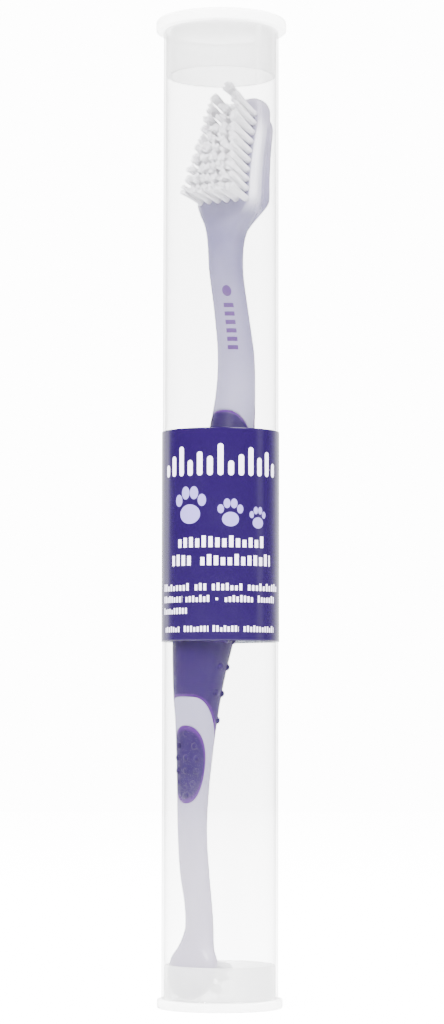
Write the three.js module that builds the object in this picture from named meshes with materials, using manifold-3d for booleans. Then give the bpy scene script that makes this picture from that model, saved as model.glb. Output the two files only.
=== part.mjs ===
// A double-ended pet toothbrush standing in its clear storage tube.
//
// Millimetres, +Z up. The origin is the centre of the bottom plug's outer face, on which the object stands.
// The brush leans in the tube: its own frame has +Z along the brush, +X across it and -Y towards the side
// that the large head's bristles face. "Forward" below means towards that side.

import * as THREE from "three";
import { ParametricGeometry } from "three/addons/geometries/ParametricGeometry.js";
import { mergeVertices } from "three/addons/utils/BufferGeometryUtils.js";
import Module from "manifold-3d";

// ---------------------------------------------------------------- driving sizes, brush

const SMALL_HEAD_LENGTH = 13.5; // lower tip to the top of the small head's flare
const STEM_LENGTH = 51.5; // small head to the front arch of the grip
const GRIP_LENGTH = 63.5; // front arch to the grip's upper front edge
const NECK_LENGTH = 46; // grip to the large head's first row of tufts
const LARGE_HEAD_LENGTH = 24.8; // first row of tufts to the upper tip

const SMALL_HEAD_HALF_WIDTH = 5.95;
const LARGE_HEAD_HALF_WIDTH = 8.0;
const HEAD_PLATE_THICKNESS = 4.8; // the large head's front plate
const HEAD_BACK_THICKNESS = 3.3; // the raised layer on its back
const HEAD_BACK_INSET = 0.2; // how far that layer stays inside the plate's outline

const GRIP_THICKNESS = 0.9; // soft rubber over the core
const GRIP_GAP = 0.3; // between the rubber and its recess
const GRIP_TONGUE_RISE = 4.4; // the back tongue ends this much above the front one
const GRIP_TONGUE_SHOULDER = 4; // how far each tongue's top falls from its middle to its sides
const GRIP_RAIL_DEPTH = 23; // how far the bare side rails run down from the front tongue's top
const GRIP_TAIL_DROP = 17; // how far the grip runs down behind, below its front arch
const GRIP_BUMP_RADIUS = 0.75;
const GRIP_BUMP_PITCH = 5.8;

const PAD_LENGTH = 16.7;
const PAD_THICKNESS = 0.8;
const PAD_GAP = 0.25;
const PAD_HALF_ANGLE = 71; // degrees round the stem, each way from the front
const PAD_ABOVE_SMALL_HEAD = 36.9; // small head to the pad's centre
const PAD_BUMP_RADIUS = 0.7;

const TUFT_RADIUS = 0.74;
const TUFT_SPREAD = 0.16; // how much wider a tuft is at its tips
const TUFT_ROOT = 2.6; // depth of a tuft in its hole
const TUFT_GAP = 0.08; // between a tuft and its hole
const TUFT_WALL = 0.9; // plastic left between the outer tufts and the head's edge
const LARGE_TUFT_LENGTH = 7.0; // in the first row, by the neck
const LARGE_TUFT_GAIN = 0.17; // how much longer each further row is
const LARGE_TUFT_PITCH = 2.25; // along the head
const LARGE_TUFT_LEAN = 3.5; // degrees towards the tip, from square to the face
const LARGE_TUFT_ROWS = [6, 6, 5, 5, 5, 4, 4, 3, 3, 2, 1]; // tufts in each row, from the neck to the tip
const SMALL_TUFT_LENGTH = 5.2;
const SMALL_TUFT_GAIN = 0;
const SMALL_TUFT_PITCH = 2.4;
const SMALL_TUFT_LEAN = 3.5;
const SMALL_TUFT_FIRST = 8.3; // the first row's height above the lower tip
const SMALL_TUFT_ROWS = [4, 3, 2];

// ---------------------------------------------------------------- driving sizes, case

const CASE_BORE = 24.4;
const CASE_WALL = 0.5;
const CASE_HEADROOM = 13.1; // upper tip of the brush to the tube's upper rim
const CASE_MIN_ROOM = 0.15; // least gap from the brush to the tube, all round
const LABEL_THICKNESS = 0.15;
const LABEL_GAP = 0.05;
const LABEL_HEIGHT = 46;
const LABEL_BOTTOM = 79.4;
const TOP_FLANGE_OVERHANG = 1.7; // past the tube's outside
const TOP_FLANGE_THICKNESS = 2.6;
const TOP_SKIRT_DEPTH = 10;
const BOTTOM_FLANGE_OVERHANG = 0.95;
const BOTTOM_FLANGE_THICKNESS = 2.0;
const BOTTOM_SKIRT_DEPTH = 7.4;
const PLUG_WALL = 0.85;
const PLUG_FLOOR = 1.7;
const PLUG_SLIP = 0.05; // radial, between a plug's skirt and the tube
const PLUG_SEAT = 0.05; // between a flange and the tube's rim
const PLUG_EDGE_RADIUS = 0.9;

// ---------------------------------------------------------------- how the brush stands in the case

const FACING = -38; // degrees about +Z that the bristle side is turned from -Y
const LEAN_BACK = -3.7; // degrees
const LEAN_SIDE = 1.4; // degrees
const FOOT_SIDE = -2.4; // the lower tip's middle across the brush, from the tube's axis
const FOOT_ROOM = 5.0; // the lower tip's middle to the bottom plug's cup wall, straight ahead of it
const FOOT_GAP = 0.3; // lower tip to the floor of the bottom plug's cup

// ---------------------------------------------------------------- mesh fineness

const CASE_SIDES = 48;
const CORE_SIDES = 28;
const TUFT_SIDES = 8;
const SECTION_STEP = 4.4; // along the brush
const BUMP_SIDES = 6;
const EDGE_STEPS = 4; // per rounded edge

const wasm = await Module();
wasm.setup();

const radians = THREE.MathUtils.degToRad;

// ---------------------------------------------------------------- solids

// A geometry as a manifold-3d solid that faces outwards.
function solidOf(geometry) {
  const bare = geometry.clone();
  bare.deleteAttribute("normal");
  bare.deleteAttribute("uv");
  const merged = mergeVertices(bare, 1e-4);
  const triVerts = new Uint32Array(merged.index.array);
  const vertProperties = new Float32Array(merged.attributes.position.array);
  const made = new wasm.Manifold(new wasm.Mesh({ numProp: 3, vertProperties, triVerts }));
  if (made.volume() > 0) return made;
  for (let i = 0; i < triVerts.length; i += 3) {
    [triVerts[i + 1], triVerts[i + 2]] = [triVerts[i + 2], triVerts[i + 1]];
  }
  return new wasm.Manifold(new wasm.Mesh({ numProp: 3, vertProperties, triVerts }));
}

function geometryOf(solid) {
  const mesh = solid.getMesh();
  const stride = mesh.numProp;
  const positions = new Float32Array(mesh.numVert * 3);
  for (let i = 0; i < mesh.numVert; i++) {
    positions.set(mesh.vertProperties.subarray(i * stride, i * stride + 3), i * 3);
  }
  const geometry = new THREE.BufferGeometry();
  geometry.setAttribute("position", new THREE.BufferAttribute(positions, 3));
  geometry.setIndex(new THREE.BufferAttribute(new Uint32Array(mesh.triVerts), 1));
  geometry.computeVertexNormals();
  return geometry;
}

function joined(solids) {
  return solids.reduce((whole, piece) => whole.add(piece));
}

// ---------------------------------------------------------------- the brush's form

const stemFoot = SMALL_HEAD_LENGTH;
const gripArch = stemFoot + STEM_LENGTH;
const gripTop = gripArch + GRIP_LENGTH;
const headBase = gripTop + NECK_LENGTH;
const brushLength = headBase + LARGE_HEAD_LENGTH;

const plateHalf = HEAD_PLATE_THICKNESS / 2;
const wide = LARGE_HEAD_HALF_WIDTH;
const small = SMALL_HEAD_HALF_WIDTH;

// Sections along the brush: height, how far forward the middle is, half width, half depth, and how square
// the outline is (2 is an ellipse, larger numbers are boxier).
const sections = [
  // small head, from its tip to its flare
  [0, 1.9, small * 0.72, 1.9, 3],
  [SMALL_HEAD_LENGTH * 0.22, 1.35, small * 0.9, 1.95, 3.4],
  [SMALL_HEAD_LENGTH * 0.5, 0.8, small, 1.95, 3.4],
  [SMALL_HEAD_LENGTH * 0.66, 0.45, small * 0.97, 1.95, 3.2],
  [SMALL_HEAD_LENGTH * 0.82, 0.0, small * 0.77, 2.0, 2.6],
  [SMALL_HEAD_LENGTH * 1.0, -0.5, 3.85, 2.1, 2.3],
  // stem
  [stemFoot + STEM_LENGTH * 0.04, -0.7, 3.45, 2.2, 2.2],
  [stemFoot + STEM_LENGTH * 0.13, 0.1, 3.3, 2.35, 2.2],
  [stemFoot + STEM_LENGTH * 0.27, 2.15, 3.5, 2.5, 2.2],
  [stemFoot + STEM_LENGTH * 0.44, 3.8, 3.5, 2.45, 2.2],
  [stemFoot + STEM_LENGTH * 0.62, 4.45, 3.85, 2.65, 2.2],
  [stemFoot + STEM_LENGTH * 0.78, 4.7, 4.4, 3.1, 2.2],
  [stemFoot + STEM_LENGTH * 0.9, 4.85, 4.85, 3.7, 2.2],
  // grip
  [gripArch, 5.0, 5.4, 4.35, 2.2],
  [gripArch + GRIP_LENGTH * 0.1, 4.75, 6.15, 5.0, 2.2],
  [gripArch + GRIP_LENGTH * 0.2, 4.15, 6.9, 5.7, 2.2],
  [gripArch + GRIP_LENGTH * 0.35, 2.9, 7.4, 6.2, 2.2],
  [gripArch + GRIP_LENGTH * 0.55, 1.3, 7.1, 6.0, 2.2],
  [gripArch + GRIP_LENGTH * 0.8, -0.5, 6.1, 5.3, 2.2],
  [gripTop - GRIP_LENGTH * 0.06, -1.5, 5.1, 4.5, 2.2],
  // neck
  [gripTop + NECK_LENGTH * 0.1, -2.0, 4.4, 3.95, 2.2],
  [gripTop + NECK_LENGTH * 0.28, -1.3, 4.15, 3.65, 2.2],
  [gripTop + NECK_LENGTH * 0.48, 1.3, 3.95, 3.3, 2.2],
  [gripTop + NECK_LENGTH * 0.66, 3.9, 3.9, 3.2, 2.3],
  [gripTop + NECK_LENGTH * 0.8, 4.7, 4.15, 3.3, 2.5],
  [gripTop + NECK_LENGTH * 0.88, 4.6, wide * 0.66, 3.0, 3],
  [gripTop + NECK_LENGTH * 0.95, 4.45, wide * 0.9, plateHalf + 0.15, 3.8],
  // large head, widest by the neck and narrower towards its tip
  [headBase, 4.2, wide, plateHalf, 5],
  [headBase + LARGE_HEAD_LENGTH * 0.2, 2.95, wide * 0.88, plateHalf, 5],
  [headBase + LARGE_HEAD_LENGTH * 0.45, 1.35, wide * 0.745, plateHalf * 0.97, 5],
  [headBase + LARGE_HEAD_LENGTH * 0.75, -0.6, wide * 0.64, plateHalf * 0.9, 5],
  [brushLength, -2.2, wide * 0.53, plateHalf * 0.82, 4],
];
const [HEIGHT, FORWARD, HALF_WIDTH, HALF_DEPTH, SQUARE] = [0, 1, 2, 3, 4];

const TIP_ROUND_WIDTH = 4.6; // how far from each tip the outline starts to close
const TIP_ROUND_DEPTH = 1.3;

// A section value at a height: a smooth cubic through the sections, with slopes from the two neighbours.
function sectionValue(height, column) {
  const last = sections.length - 1;
  let i = 0;
  while (i < last - 1 && sections[i + 1][HEIGHT] < height) i++;
  const slope = (k) => {
    const below = sections[Math.max(k - 1, 0)];
    const above = sections[Math.min(k + 1, last)];
    return (above[column] - below[column]) / (above[HEIGHT] - below[HEIGHT]);
  };
  const [from, to] = [sections[i], sections[i + 1]];
  const span = to[HEIGHT] - from[HEIGHT];
  const t = THREE.MathUtils.clamp((height - from[HEIGHT]) / span, 0, 1);
  return (
    (2 * t ** 3 - 3 * t ** 2 + 1) * from[column] +
    (t ** 3 - 2 * t ** 2 + t) * span * slope(i) +
    (3 * t ** 2 - 2 * t ** 3) * to[column] +
    (t ** 3 - t ** 2) * span * slope(i + 1)
  );
}

// 0 at the tip, rising along a quarter circle to 1 at the given reach from it.
function rounding(distance, reach) {
  const t = THREE.MathUtils.clamp(distance / reach, 0, 1);
  return Math.sqrt(Math.max(0, 1 - (1 - t) ** 2));
}

function sectionAt(height) {
  const fromTip = Math.min(height, brushLength - height);
  return {
    forward: sectionValue(height, FORWARD),
    halfWidth: sectionValue(height, HALF_WIDTH) * rounding(fromTip, TIP_ROUND_WIDTH),
    halfDepth: sectionValue(height, HALF_DEPTH) * rounding(fromTip, TIP_ROUND_DEPTH),
    square: sectionValue(height, SQUARE),
  };
}

// A point on a section's outline, the angle being 0 at the front and 90 at +X, moved out by an offset.
function outlinePoint(section, angle, offset, height, target) {
  const across = Math.sin(angle);
  const ahead = Math.cos(angle);
  const power = 2 / section.square;
  const halfWidth = Math.max(section.halfWidth + offset, 0);
  const halfDepth = Math.max(section.halfDepth + offset, 0);
  const x = Math.sign(across) * Math.abs(across) ** power * halfWidth;
  const y = -Math.sign(ahead) * Math.abs(ahead) ** power * halfDepth;
  return target.set(x, y - section.forward, height);
}

// A solid lofted through sections at the given heights, closed by a flat face at each end.
function loftOf(heights, sectionFor, offset) {
  const stacks = heights.length + 1;
  const centre = { forward: 0, halfWidth: 0, halfDepth: 0, square: 2 };
  const surface = (u, v, target) => {
    const ring = Math.round(v * stacks) - 1;
    const height = heights[THREE.MathUtils.clamp(ring, 0, heights.length - 1)];
    const section = sectionFor(height);
    if (ring < 0 || ring >= heights.length) {
      centre.forward = section.forward;
      return outlinePoint(centre, 0, 0, height, target);
    }
    const angle = (Math.round(u * CORE_SIDES) % CORE_SIDES) * ((2 * Math.PI) / CORE_SIDES);
    return outlinePoint(section, angle, offset, height, target);
  };
  return solidOf(new ParametricGeometry(surface, CORE_SIDES, stacks));
}

// Heights from one to another about a step apart, closer together near a rounded tip at either end.
function heightsBetween(from, to, step, roundFrom, roundTo) {
  const heights = [];
  const closing = (reach) => [0.004, 0.05, 0.18, 0.4, 0.7].map((share) => share * reach);
  const start = roundFrom ? from + TIP_ROUND_WIDTH : from;
  const end = roundTo ? to - TIP_ROUND_WIDTH : to;
  if (roundFrom) heights.push(...closing(TIP_ROUND_WIDTH).map((d) => from + d));
  const count = Math.max(1, Math.round((end - start) / step));
  for (let i = 0; i <= count; i++) heights.push(start + ((end - start) * i) / count);
  if (roundTo) heights.push(...closing(TIP_ROUND_WIDTH).reverse().map((d) => to - d));
  return heights;
}

// ---------------------------------------------------------------- handle core

const BACK_LAYER_FOOT = 10; // below the first row of tufts
const BACK_LAYER_STOP = 3.4; // below the upper tip

// The raised layer on the large head's back: it follows the plate's outline a little inside it, and thins
// out towards the tip.
function backLayerSection(height) {
  const plate = sectionAt(height);
  const from = headBase - BACK_LAYER_FOOT;
  const to = brushLength - BACK_LAYER_STOP;
  const along = (height - from) / (to - from);
  const thickness = HEAD_BACK_THICKNESS * (1 - 0.62 * Math.max(0, along));
  const bite = Math.min(1.2, plate.halfDepth);
  const narrowing = rounding(to + 0.01 - height, TIP_ROUND_WIDTH);
  const swelling = 0.02 + 0.98 * THREE.MathUtils.smoothstep(height, from, headBase + 1);
  return {
    forward: plate.forward - plate.halfDepth + bite / 2 - (thickness * swelling) / 2,
    halfWidth: (plate.halfWidth - HEAD_BACK_INSET) * narrowing * (0.55 + 0.45 * swelling),
    halfDepth: (bite + thickness * swelling) / 2,
    square: plate.square,
  };
}

function wholeBrushForm() {
  const body = loftOf(heightsBetween(0, brushLength, SECTION_STEP, true, true), sectionAt, 0);
  const layerHeights = heightsBetween(
    headBase - BACK_LAYER_FOOT,
    brushLength - BACK_LAYER_STOP,
    SECTION_STEP,
    false,
    true,
  );
  return body.add(loftOf(layerHeights, backLayerSection, 0));
}

// ---------------------------------------------------------------- grip sleeve

// Angles in degrees round the sleeve, closer together beside the two bare rails at the sides. A grown sleeve
// has narrower rails.
const RAIL_ANGLE = 97;
const RAIL_HALF_ANGLE = 11;
const RAIL_EDGE_ANGLE = 2; // each rail's edge falls away over twice this angle

function sleeveAngles(grow) {
  const railRadius = sectionAt(gripTop - GRIP_RAIL_DEPTH / 2).halfDepth;
  const half = RAIL_HALF_ANGLE - THREE.MathUtils.radToDeg(grow / railRadius);
  const [outside, inside] = [half + RAIL_EDGE_ANGLE, half - RAIL_EDGE_ANGLE];
  const offsets = [-outside, -inside, 0, inside, outside];
  const rail = offsets.map((offset) => RAIL_ANGLE + offset);
  const halfTurn = [...[0, 16, 32, 48, 62, 74], ...rail, ...[122, 136, 150, 165, 180]];
  const otherHalf = halfTurn.slice(1, -1).reverse();
  const inRail = (angle) => rail.slice(1, -1).includes(angle);
  return [
    ...halfTurn.map((angle) => ({ angle, inRail: inRail(angle) })),
    ...otherHalf.map((angle) => ({ angle: 360 - angle, inRail: inRail(angle) })),
  ];
}

// The sleeve's upper edge: a front and a back tongue with rounded corners, and a bare rail at each side.
function sleeveTop(angle, inRail) {
  if (inRail) return gripTop - GRIP_RAIL_DEPTH;
  const fromFront = angle > 180 ? 360 - angle : angle;
  const isFront = fromFront < RAIL_ANGLE;
  const half = isFront ? RAIL_ANGLE - RAIL_HALF_ANGLE : 180 - RAIL_ANGLE - RAIL_HALF_ANGLE;
  const off = isFront ? fromFront : 180 - fromFront;
  const shoulder = GRIP_TONGUE_SHOULDER * Math.abs(off / half) ** 2.4;
  return gripTop + (isFront ? 0 : GRIP_TONGUE_RISE) - shoulder;
}

// Its lower edge: an arch over the front, falling to a rounded tail behind.
function sleeveBottom(angle) {
  return gripArch - GRIP_TAIL_DROP * ((1 - Math.cos(radians(angle))) / 2) ** 1.7;
}

// How far an edge moves along the brush to stand a gap away from where it was, allowing for its slope.
function edgeShift(edge, angle, gap) {
  const turn = 1;
  const radius = sectionAt(edge(angle)).halfDepth;
  const slope = (edge(angle + turn) - edge(angle - turn)) / (2 * radius * radians(turn));
  return gap * Math.hypot(1, slope);
}

// A closed shell between two offsets from the brush's outline, over the sleeve's area. Its two end rings
// can be moved outwards, so that a recess for it keeps the sleeve's own facets everywhere else.
function sleeveShell(outer, inner, grow) {
  const rows = 16;
  const angles = sleeveAngles(grow);
  const columns = angles.length;
  const surface = (u, v, target) => {
    const { angle, inRail } = angles[Math.round(u * columns) % columns];
    const step = Math.round(v * 2 * (rows + 1)) % (2 * (rows + 1));
    const isOuter = step <= rows;
    const share = (isOuter ? step : 2 * rows + 1 - step) / rows;
    const topEdge = (at) => sleeveTop(at, inRail);
    const [bottom, top] = [sleeveBottom(angle), topEdge(angle)];
    let height = bottom + (top - bottom) * share;
    if (share === 0) height -= edgeShift(sleeveBottom, angle, grow);
    if (share === 1) height += edgeShift(topEdge, angle, grow);
    return outlinePoint(sectionAt(height), radians(angle), isOuter ? outer : inner, height, target);
  };
  return solidOf(new ParametricGeometry(surface, columns, 2 * (rows + 1)));
}

// A low round bump on the brush's outline.
function bump(radius, angle, height, sink) {
  const ball = new THREE.SphereGeometry(radius, BUMP_SIDES, BUMP_SIDES - 2);
  const place = outlinePoint(sectionAt(height), radians(angle), -sink, height, new THREE.Vector3());
  ball.translate(place.x, place.y, place.z);
  return solidOf(ball);
}

const gripBumpAngles = [85, 115, 245, 275];
const gripBumpFirst = 4.7; // below the front arch
const gripBumpEnd = GRIP_RAIL_DEPTH + 1; // the last row stays this far below the front tongue's top
const gripBumpSink = 0.1;

function gripSleeve() {
  const bumps = [];
  const last = gripTop - gripBumpEnd - (gripArch - gripBumpFirst);
  for (let up = 0; up <= last; up += GRIP_BUMP_PITCH) {
    const height = gripArch - gripBumpFirst + up;
    for (const angle of gripBumpAngles) {
      if (height - sleeveBottom(angle) < 2 * GRIP_BUMP_RADIUS) continue;
      bumps.push(bump(GRIP_BUMP_RADIUS, angle, height, gripBumpSink));
    }
  }
  return joined([sleeveShell(0, -GRIP_THICKNESS, 0), ...bumps]);
}

// ---------------------------------------------------------------- thumb pad

const padCentre = stemFoot + PAD_ABOVE_SMALL_HEAD;

// A closed oval patch of the stem's front between two offsets from its outline. Its rim can be moved outwards.
function padPatch(outer, inner, grow) {
  const rings = 4;
  const turns = 24;
  const surface = (u, v, target) => {
    const around = ((Math.round(u * turns) % turns) / turns) * 2 * Math.PI;
    const step = Math.round(v * (2 * rings + 1));
    const isOuter = step <= rings;
    const share = (isOuter ? step : 2 * rings + 1 - step) / rings;
    const rimShift = share === 1 ? grow : 0;
    const height = padCentre + ((PAD_LENGTH / 2) * share + rimShift) * Math.sin(around);
    const section = sectionAt(height);
    const rimTurn = rimShift / section.halfWidth;
    const angle = (radians(PAD_HALF_ANGLE) * share + rimTurn) * Math.cos(around);
    return outlinePoint(section, angle, isOuter ? outer : inner, height, target);
  };
  return solidOf(new ParametricGeometry(surface, turns, 2 * rings + 1));
}

// Bumps on the pad: degrees round the stem, and share of the pad's half length, each mirrored both ways.
const padBumps = [
  [0, 0.17],
  [0, 0.8],
  [36, 0.17],
  [26, 0.48],
];
const padBumpSink = 0.25;

function thumbPad() {
  const places = new Map();
  for (const [angle, share] of padBumps) {
    for (const side of [-1, 1]) {
      for (const way of [-1, 1]) {
        const height = padCentre + (way * share * PAD_LENGTH) / 2;
        places.set(`${side * angle + 0} ${height}`, [side * angle, height]);
      }
    }
  }
  const bumps = [...places.values()].map(([angle, height]) =>
    bump(PAD_BUMP_RADIUS, angle, height, padBumpSink),
  );
  return joined([padPatch(0, -PAD_THICKNESS, 0), ...bumps]);
}

// ---------------------------------------------------------------- tufts

// The height of a head's face in front of (or behind) the brush's own line, and its slope along the brush.
function faceAt(height, side) {
  const place = (h) => {
    const section = sectionAt(h);
    return section.forward + side * section.halfDepth;
  };
  const reach = 1.5;
  return { forward: place(height), slope: (place(height + reach) - place(height - reach)) / (2 * reach) };
}

// One head's tufts, each with its place on the face and the direction it stands in. side is 1 for bristles
// that face forward and -1 for backward, and tipward is the way to the head's tip.
function tuftsOf(name, rows, firstHeight, pitch, side, tipward, lean, firstLength, gain) {
  const tufts = [];
  rows.forEach((count, row) => {
    const height = firstHeight + tipward * pitch * row;
    const face = faceAt(height, side);
    const outline = sectionAt(height + (tipward * pitch) / 2);
    const halfSpread = outline.halfWidth - TUFT_WALL - TUFT_RADIUS;
    const tilt = Math.atan(-face.slope) * side + tipward * radians(lean);
    const direction = new THREE.Vector3(0, -side * Math.cos(tilt), Math.sin(tilt));
    for (let column = 0; column < count; column++) {
      const across = count === 1 ? 0 : halfSpread * ((2 * column) / (count - 1) - 1);
      const place = new THREE.Vector3(across, -face.forward, height);
      const length = firstLength + gain * row;
      tufts.push({ name: `${name}_${row + 1}_${column + 1}`, place, direction, length });
    }
  });
  return tufts;
}

const tufts = [
  ...tuftsOf(
    "tuft_large",
    LARGE_TUFT_ROWS,
    headBase,
    LARGE_TUFT_PITCH,
    1,
    1,
    LARGE_TUFT_LEAN,
    LARGE_TUFT_LENGTH,
    LARGE_TUFT_GAIN,
  ),
  ...tuftsOf(
    "tuft_small",
    SMALL_TUFT_ROWS,
    SMALL_TUFT_FIRST,
    SMALL_TUFT_PITCH,
    -1,
    -1,
    SMALL_TUFT_LEAN,
    SMALL_TUFT_LENGTH,
    SMALL_TUFT_GAIN,
  ),
];

// A bundle of bristles: a round root, spreading a little to a domed end. +Y is its length, 0 at the face.
function tuftGeometry(length) {
  const tip = TUFT_RADIUS + TUFT_SPREAD;
  const profile = [
    [0, -TUFT_ROOT],
    [TUFT_RADIUS, -TUFT_ROOT],
    [TUFT_RADIUS, 0],
    [tip, length * 0.93],
    [0, length],
  ];
  return new THREE.LatheGeometry(
    profile.map(([radius, along]) => new THREE.Vector2(radius, along)),
    TUFT_SIDES,
  );
}

const upright = new THREE.Vector3(0, 1, 0);

function placedOn(geometry, tuft) {
  const turn = new THREE.Quaternion().setFromUnitVectors(upright, tuft.direction);
  return geometry.clone().applyQuaternion(turn).translate(tuft.place.x, tuft.place.y, tuft.place.z);
}

// The drill that makes a tuft's blind hole. It stands clear of the face so that it cuts right through it.
function tuftHole(tuft) {
  const standing = 2;
  const depth = TUFT_ROOT + TUFT_GAP + standing;
  const drill = new THREE.CylinderGeometry(TUFT_RADIUS + TUFT_GAP, TUFT_RADIUS + TUFT_GAP, depth, TUFT_SIDES);
  drill.translate(0, standing - depth / 2, 0);
  return solidOf(placedOn(drill, tuft));
}

function handleCore() {
  const recessDepth = GRIP_THICKNESS + GRIP_GAP;
  const gripRecess = sleeveShell(2, -recessDepth, GRIP_GAP);
  const padRecess = padPatch(2, -PAD_THICKNESS - PAD_GAP, PAD_GAP);
  const cuts = [gripRecess, padRecess, ...tufts.map(tuftHole)];
  return wholeBrushForm().subtract(joined(cuts));
}

// ---------------------------------------------------------------- case

// How far a solid of the brush reaches from the tube's axis, once the brush stands in it.
function reachOf(geometry, matrix) {
  const point = new THREE.Vector3();
  const positions = geometry.attributes.position;
  let reach = 0;
  for (let i = 0; i < positions.count; i++) {
    point.fromBufferAttribute(positions, i).applyMatrix4(matrix);
    reach = Math.max(reach, Math.hypot(point.x, point.y));
  }
  return reach;
}

// A ring or cup from its closed outline of [radius, height] points, about +Z.
function turned(profile) {
  const geometry = new THREE.LatheGeometry(
    profile.map(([radius, height]) => new THREE.Vector2(radius, height)),
    CASE_SIDES,
  );
  return geometry.rotateX(Math.PI / 2);
}

function tubeProfile(innerRadius, outerRadius, bottom, top) {
  return [
    [innerRadius, bottom],
    [outerRadius, bottom],
    [outerRadius, top],
    [innerRadius, top],
    [innerRadius, bottom],
  ];
}

// Points of a quarter circle from one angle to another, in degrees, about a centre.
function arc(centre, radius, fromDegrees, toDegrees) {
  const points = [];
  for (let i = 0; i <= EDGE_STEPS; i++) {
    const angle = radians(fromDegrees + ((toDegrees - fromDegrees) * i) / EDGE_STEPS);
    points.push([centre[0] + radius * Math.cos(angle), centre[1] + radius * Math.sin(angle)]);
  }
  return points;
}

// A flanged cup as the bottom plug stands: flat outer face at height 0, skirt upwards, open at the top.
function plugProfile(flangeRadius, flangeThickness, skirtRadius, skirtDepth, edgeRadius) {
  const wall = PLUG_WALL;
  const top = flangeThickness + skirtDepth;
  return [
    [0, 0],
    ...arc([flangeRadius - edgeRadius, edgeRadius], edgeRadius, -90, 0),
    [flangeRadius, flangeThickness],
    [skirtRadius, flangeThickness],
    [skirtRadius, top],
    [skirtRadius - wall, top],
    [skirtRadius - wall, PLUG_FLOOR],
    [0, PLUG_FLOOR],
  ];
}

// ---------------------------------------------------------------- the assembly

const colours = {
  core: { color: 0xc9c4d8, roughness: 0.35, metalness: 0 },
  rubber: { color: 0x50419a, roughness: 0.6, metalness: 0 },
  nylon: { color: 0xf4f3f6, roughness: 0.5, metalness: 0 },
  clear: { color: 0xf2f3f5, roughness: 0.08, metalness: 0, transparent: true, opacity: 0.25 },
  frosted: { color: 0xf7f7f8, roughness: 0.4, metalness: 0 },
  print: { color: 0x3d2d8c, roughness: 0.3, metalness: 0 },
};

function named(name, geometry, finish) {
  const mesh = new THREE.Mesh(geometry, new THREE.MeshStandardMaterial(finish));
  mesh.name = name;
  return mesh;
}

const toothbrush = new THREE.Group();
toothbrush.add(named("handle_core", geometryOf(handleCore()), colours.core));
toothbrush.add(named("grip_sleeve", geometryOf(gripSleeve()), colours.rubber));
toothbrush.add(named("thumb_pad", geometryOf(thumbPad()), colours.rubber));
for (const tuft of tufts) {
  const mesh = named(tuft.name, tuftGeometry(tuft.length), colours.nylon);
  mesh.position.copy(tuft.place);
  mesh.quaternion.setFromUnitVectors(upright, tuft.direction);
  toothbrush.add(mesh);
}
toothbrush.rotation.set(radians(LEAN_BACK), radians(LEAN_SIDE), 0, "XYZ");

const brushStand = new THREE.Group();
brushStand.add(toothbrush);
brushStand.rotation.z = radians(FACING);
const cupRadius = CASE_BORE / 2 - PLUG_SLIP - PLUG_WALL;
const foot = new THREE.Vector3(FOOT_SIDE, FOOT_ROOM - cupRadius, 0).applyEuler(brushStand.rotation);
brushStand.position.set(foot.x, foot.y, PLUG_FLOOR + FOOT_GAP);
brushStand.updateMatrixWorld(true);

let brushReach = 0;
toothbrush.traverse((part) => {
  if (part.isMesh) brushReach = Math.max(brushReach, reachOf(part.geometry, part.matrixWorld));
});

const boreRadius = Math.max(CASE_BORE / 2, brushReach + CASE_MIN_ROOM);
const tubeRadius = boreRadius + CASE_WALL;
const skirtRadius = boreRadius - PLUG_SLIP;
const tubeFoot = BOTTOM_FLANGE_THICKNESS + PLUG_SEAT;
const tubeTop = PLUG_FLOOR + FOOT_GAP + brushLength + CASE_HEADROOM;
const labelRadius = tubeRadius + LABEL_GAP;

const bottomPlug = named(
  "bottom_plug",
  turned(
    plugProfile(
      tubeRadius + BOTTOM_FLANGE_OVERHANG,
      BOTTOM_FLANGE_THICKNESS,
      skirtRadius,
      BOTTOM_SKIRT_DEPTH,
      PLUG_EDGE_RADIUS / 2,
    ),
  ),
  colours.frosted,
);

const topPlug = named(
  "top_plug",
  turned(
    plugProfile(
      tubeRadius + TOP_FLANGE_OVERHANG,
      TOP_FLANGE_THICKNESS,
      skirtRadius,
      TOP_SKIRT_DEPTH,
      PLUG_EDGE_RADIUS,
    ),
  ),
  colours.frosted,
);
topPlug.rotation.x = Math.PI;
topPlug.position.z = tubeTop + PLUG_SEAT + TOP_FLANGE_THICKNESS;

const tube = named(
  "case_tube",
  turned(tubeProfile(boreRadius, tubeRadius, tubeFoot, tubeTop)),
  colours.clear,
);

const label = named(
  "case_label",
  turned(tubeProfile(labelRadius, labelRadius + LABEL_THICKNESS, LABEL_BOTTOM, LABEL_BOTTOM + LABEL_HEIGHT)),
  colours.print,
);

const part = new THREE.Group();
part.add(bottomPlug, topPlug, tube, label, brushStand);

export default part;
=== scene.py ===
import math

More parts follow.
